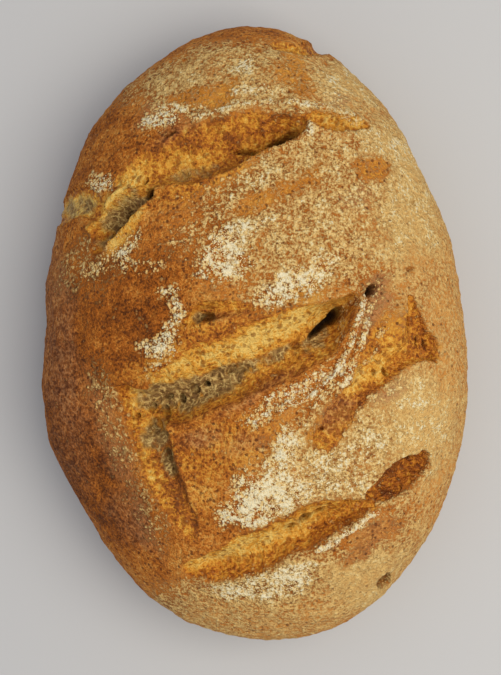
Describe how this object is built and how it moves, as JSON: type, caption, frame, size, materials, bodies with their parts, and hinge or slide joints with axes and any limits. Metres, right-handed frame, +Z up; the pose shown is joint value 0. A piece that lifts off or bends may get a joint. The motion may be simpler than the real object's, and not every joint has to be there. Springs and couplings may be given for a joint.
{
  "type": "country loaf",
  "caption": "Oval hearth-baked country loaf with torn slashes across its crown and a flat base, dusted with flour.",
  "frame": {"origin": "centre of the loaf's bounding box, on the plane of its flat base", "axes": "+Z up out of the crown, +Y along the loaf's length towards the end with the widest upper slash, +X to the right of that seen from above"},
  "size_m": [0.1841, 0.2635, 0.0926],
  "materials": {
    "crust": "matt golden-brown baked wheat crust, dusted with white flour"
  },
  "bodies": {
    "root": {"loaf": "crust"}
  },
  "joints": []
}
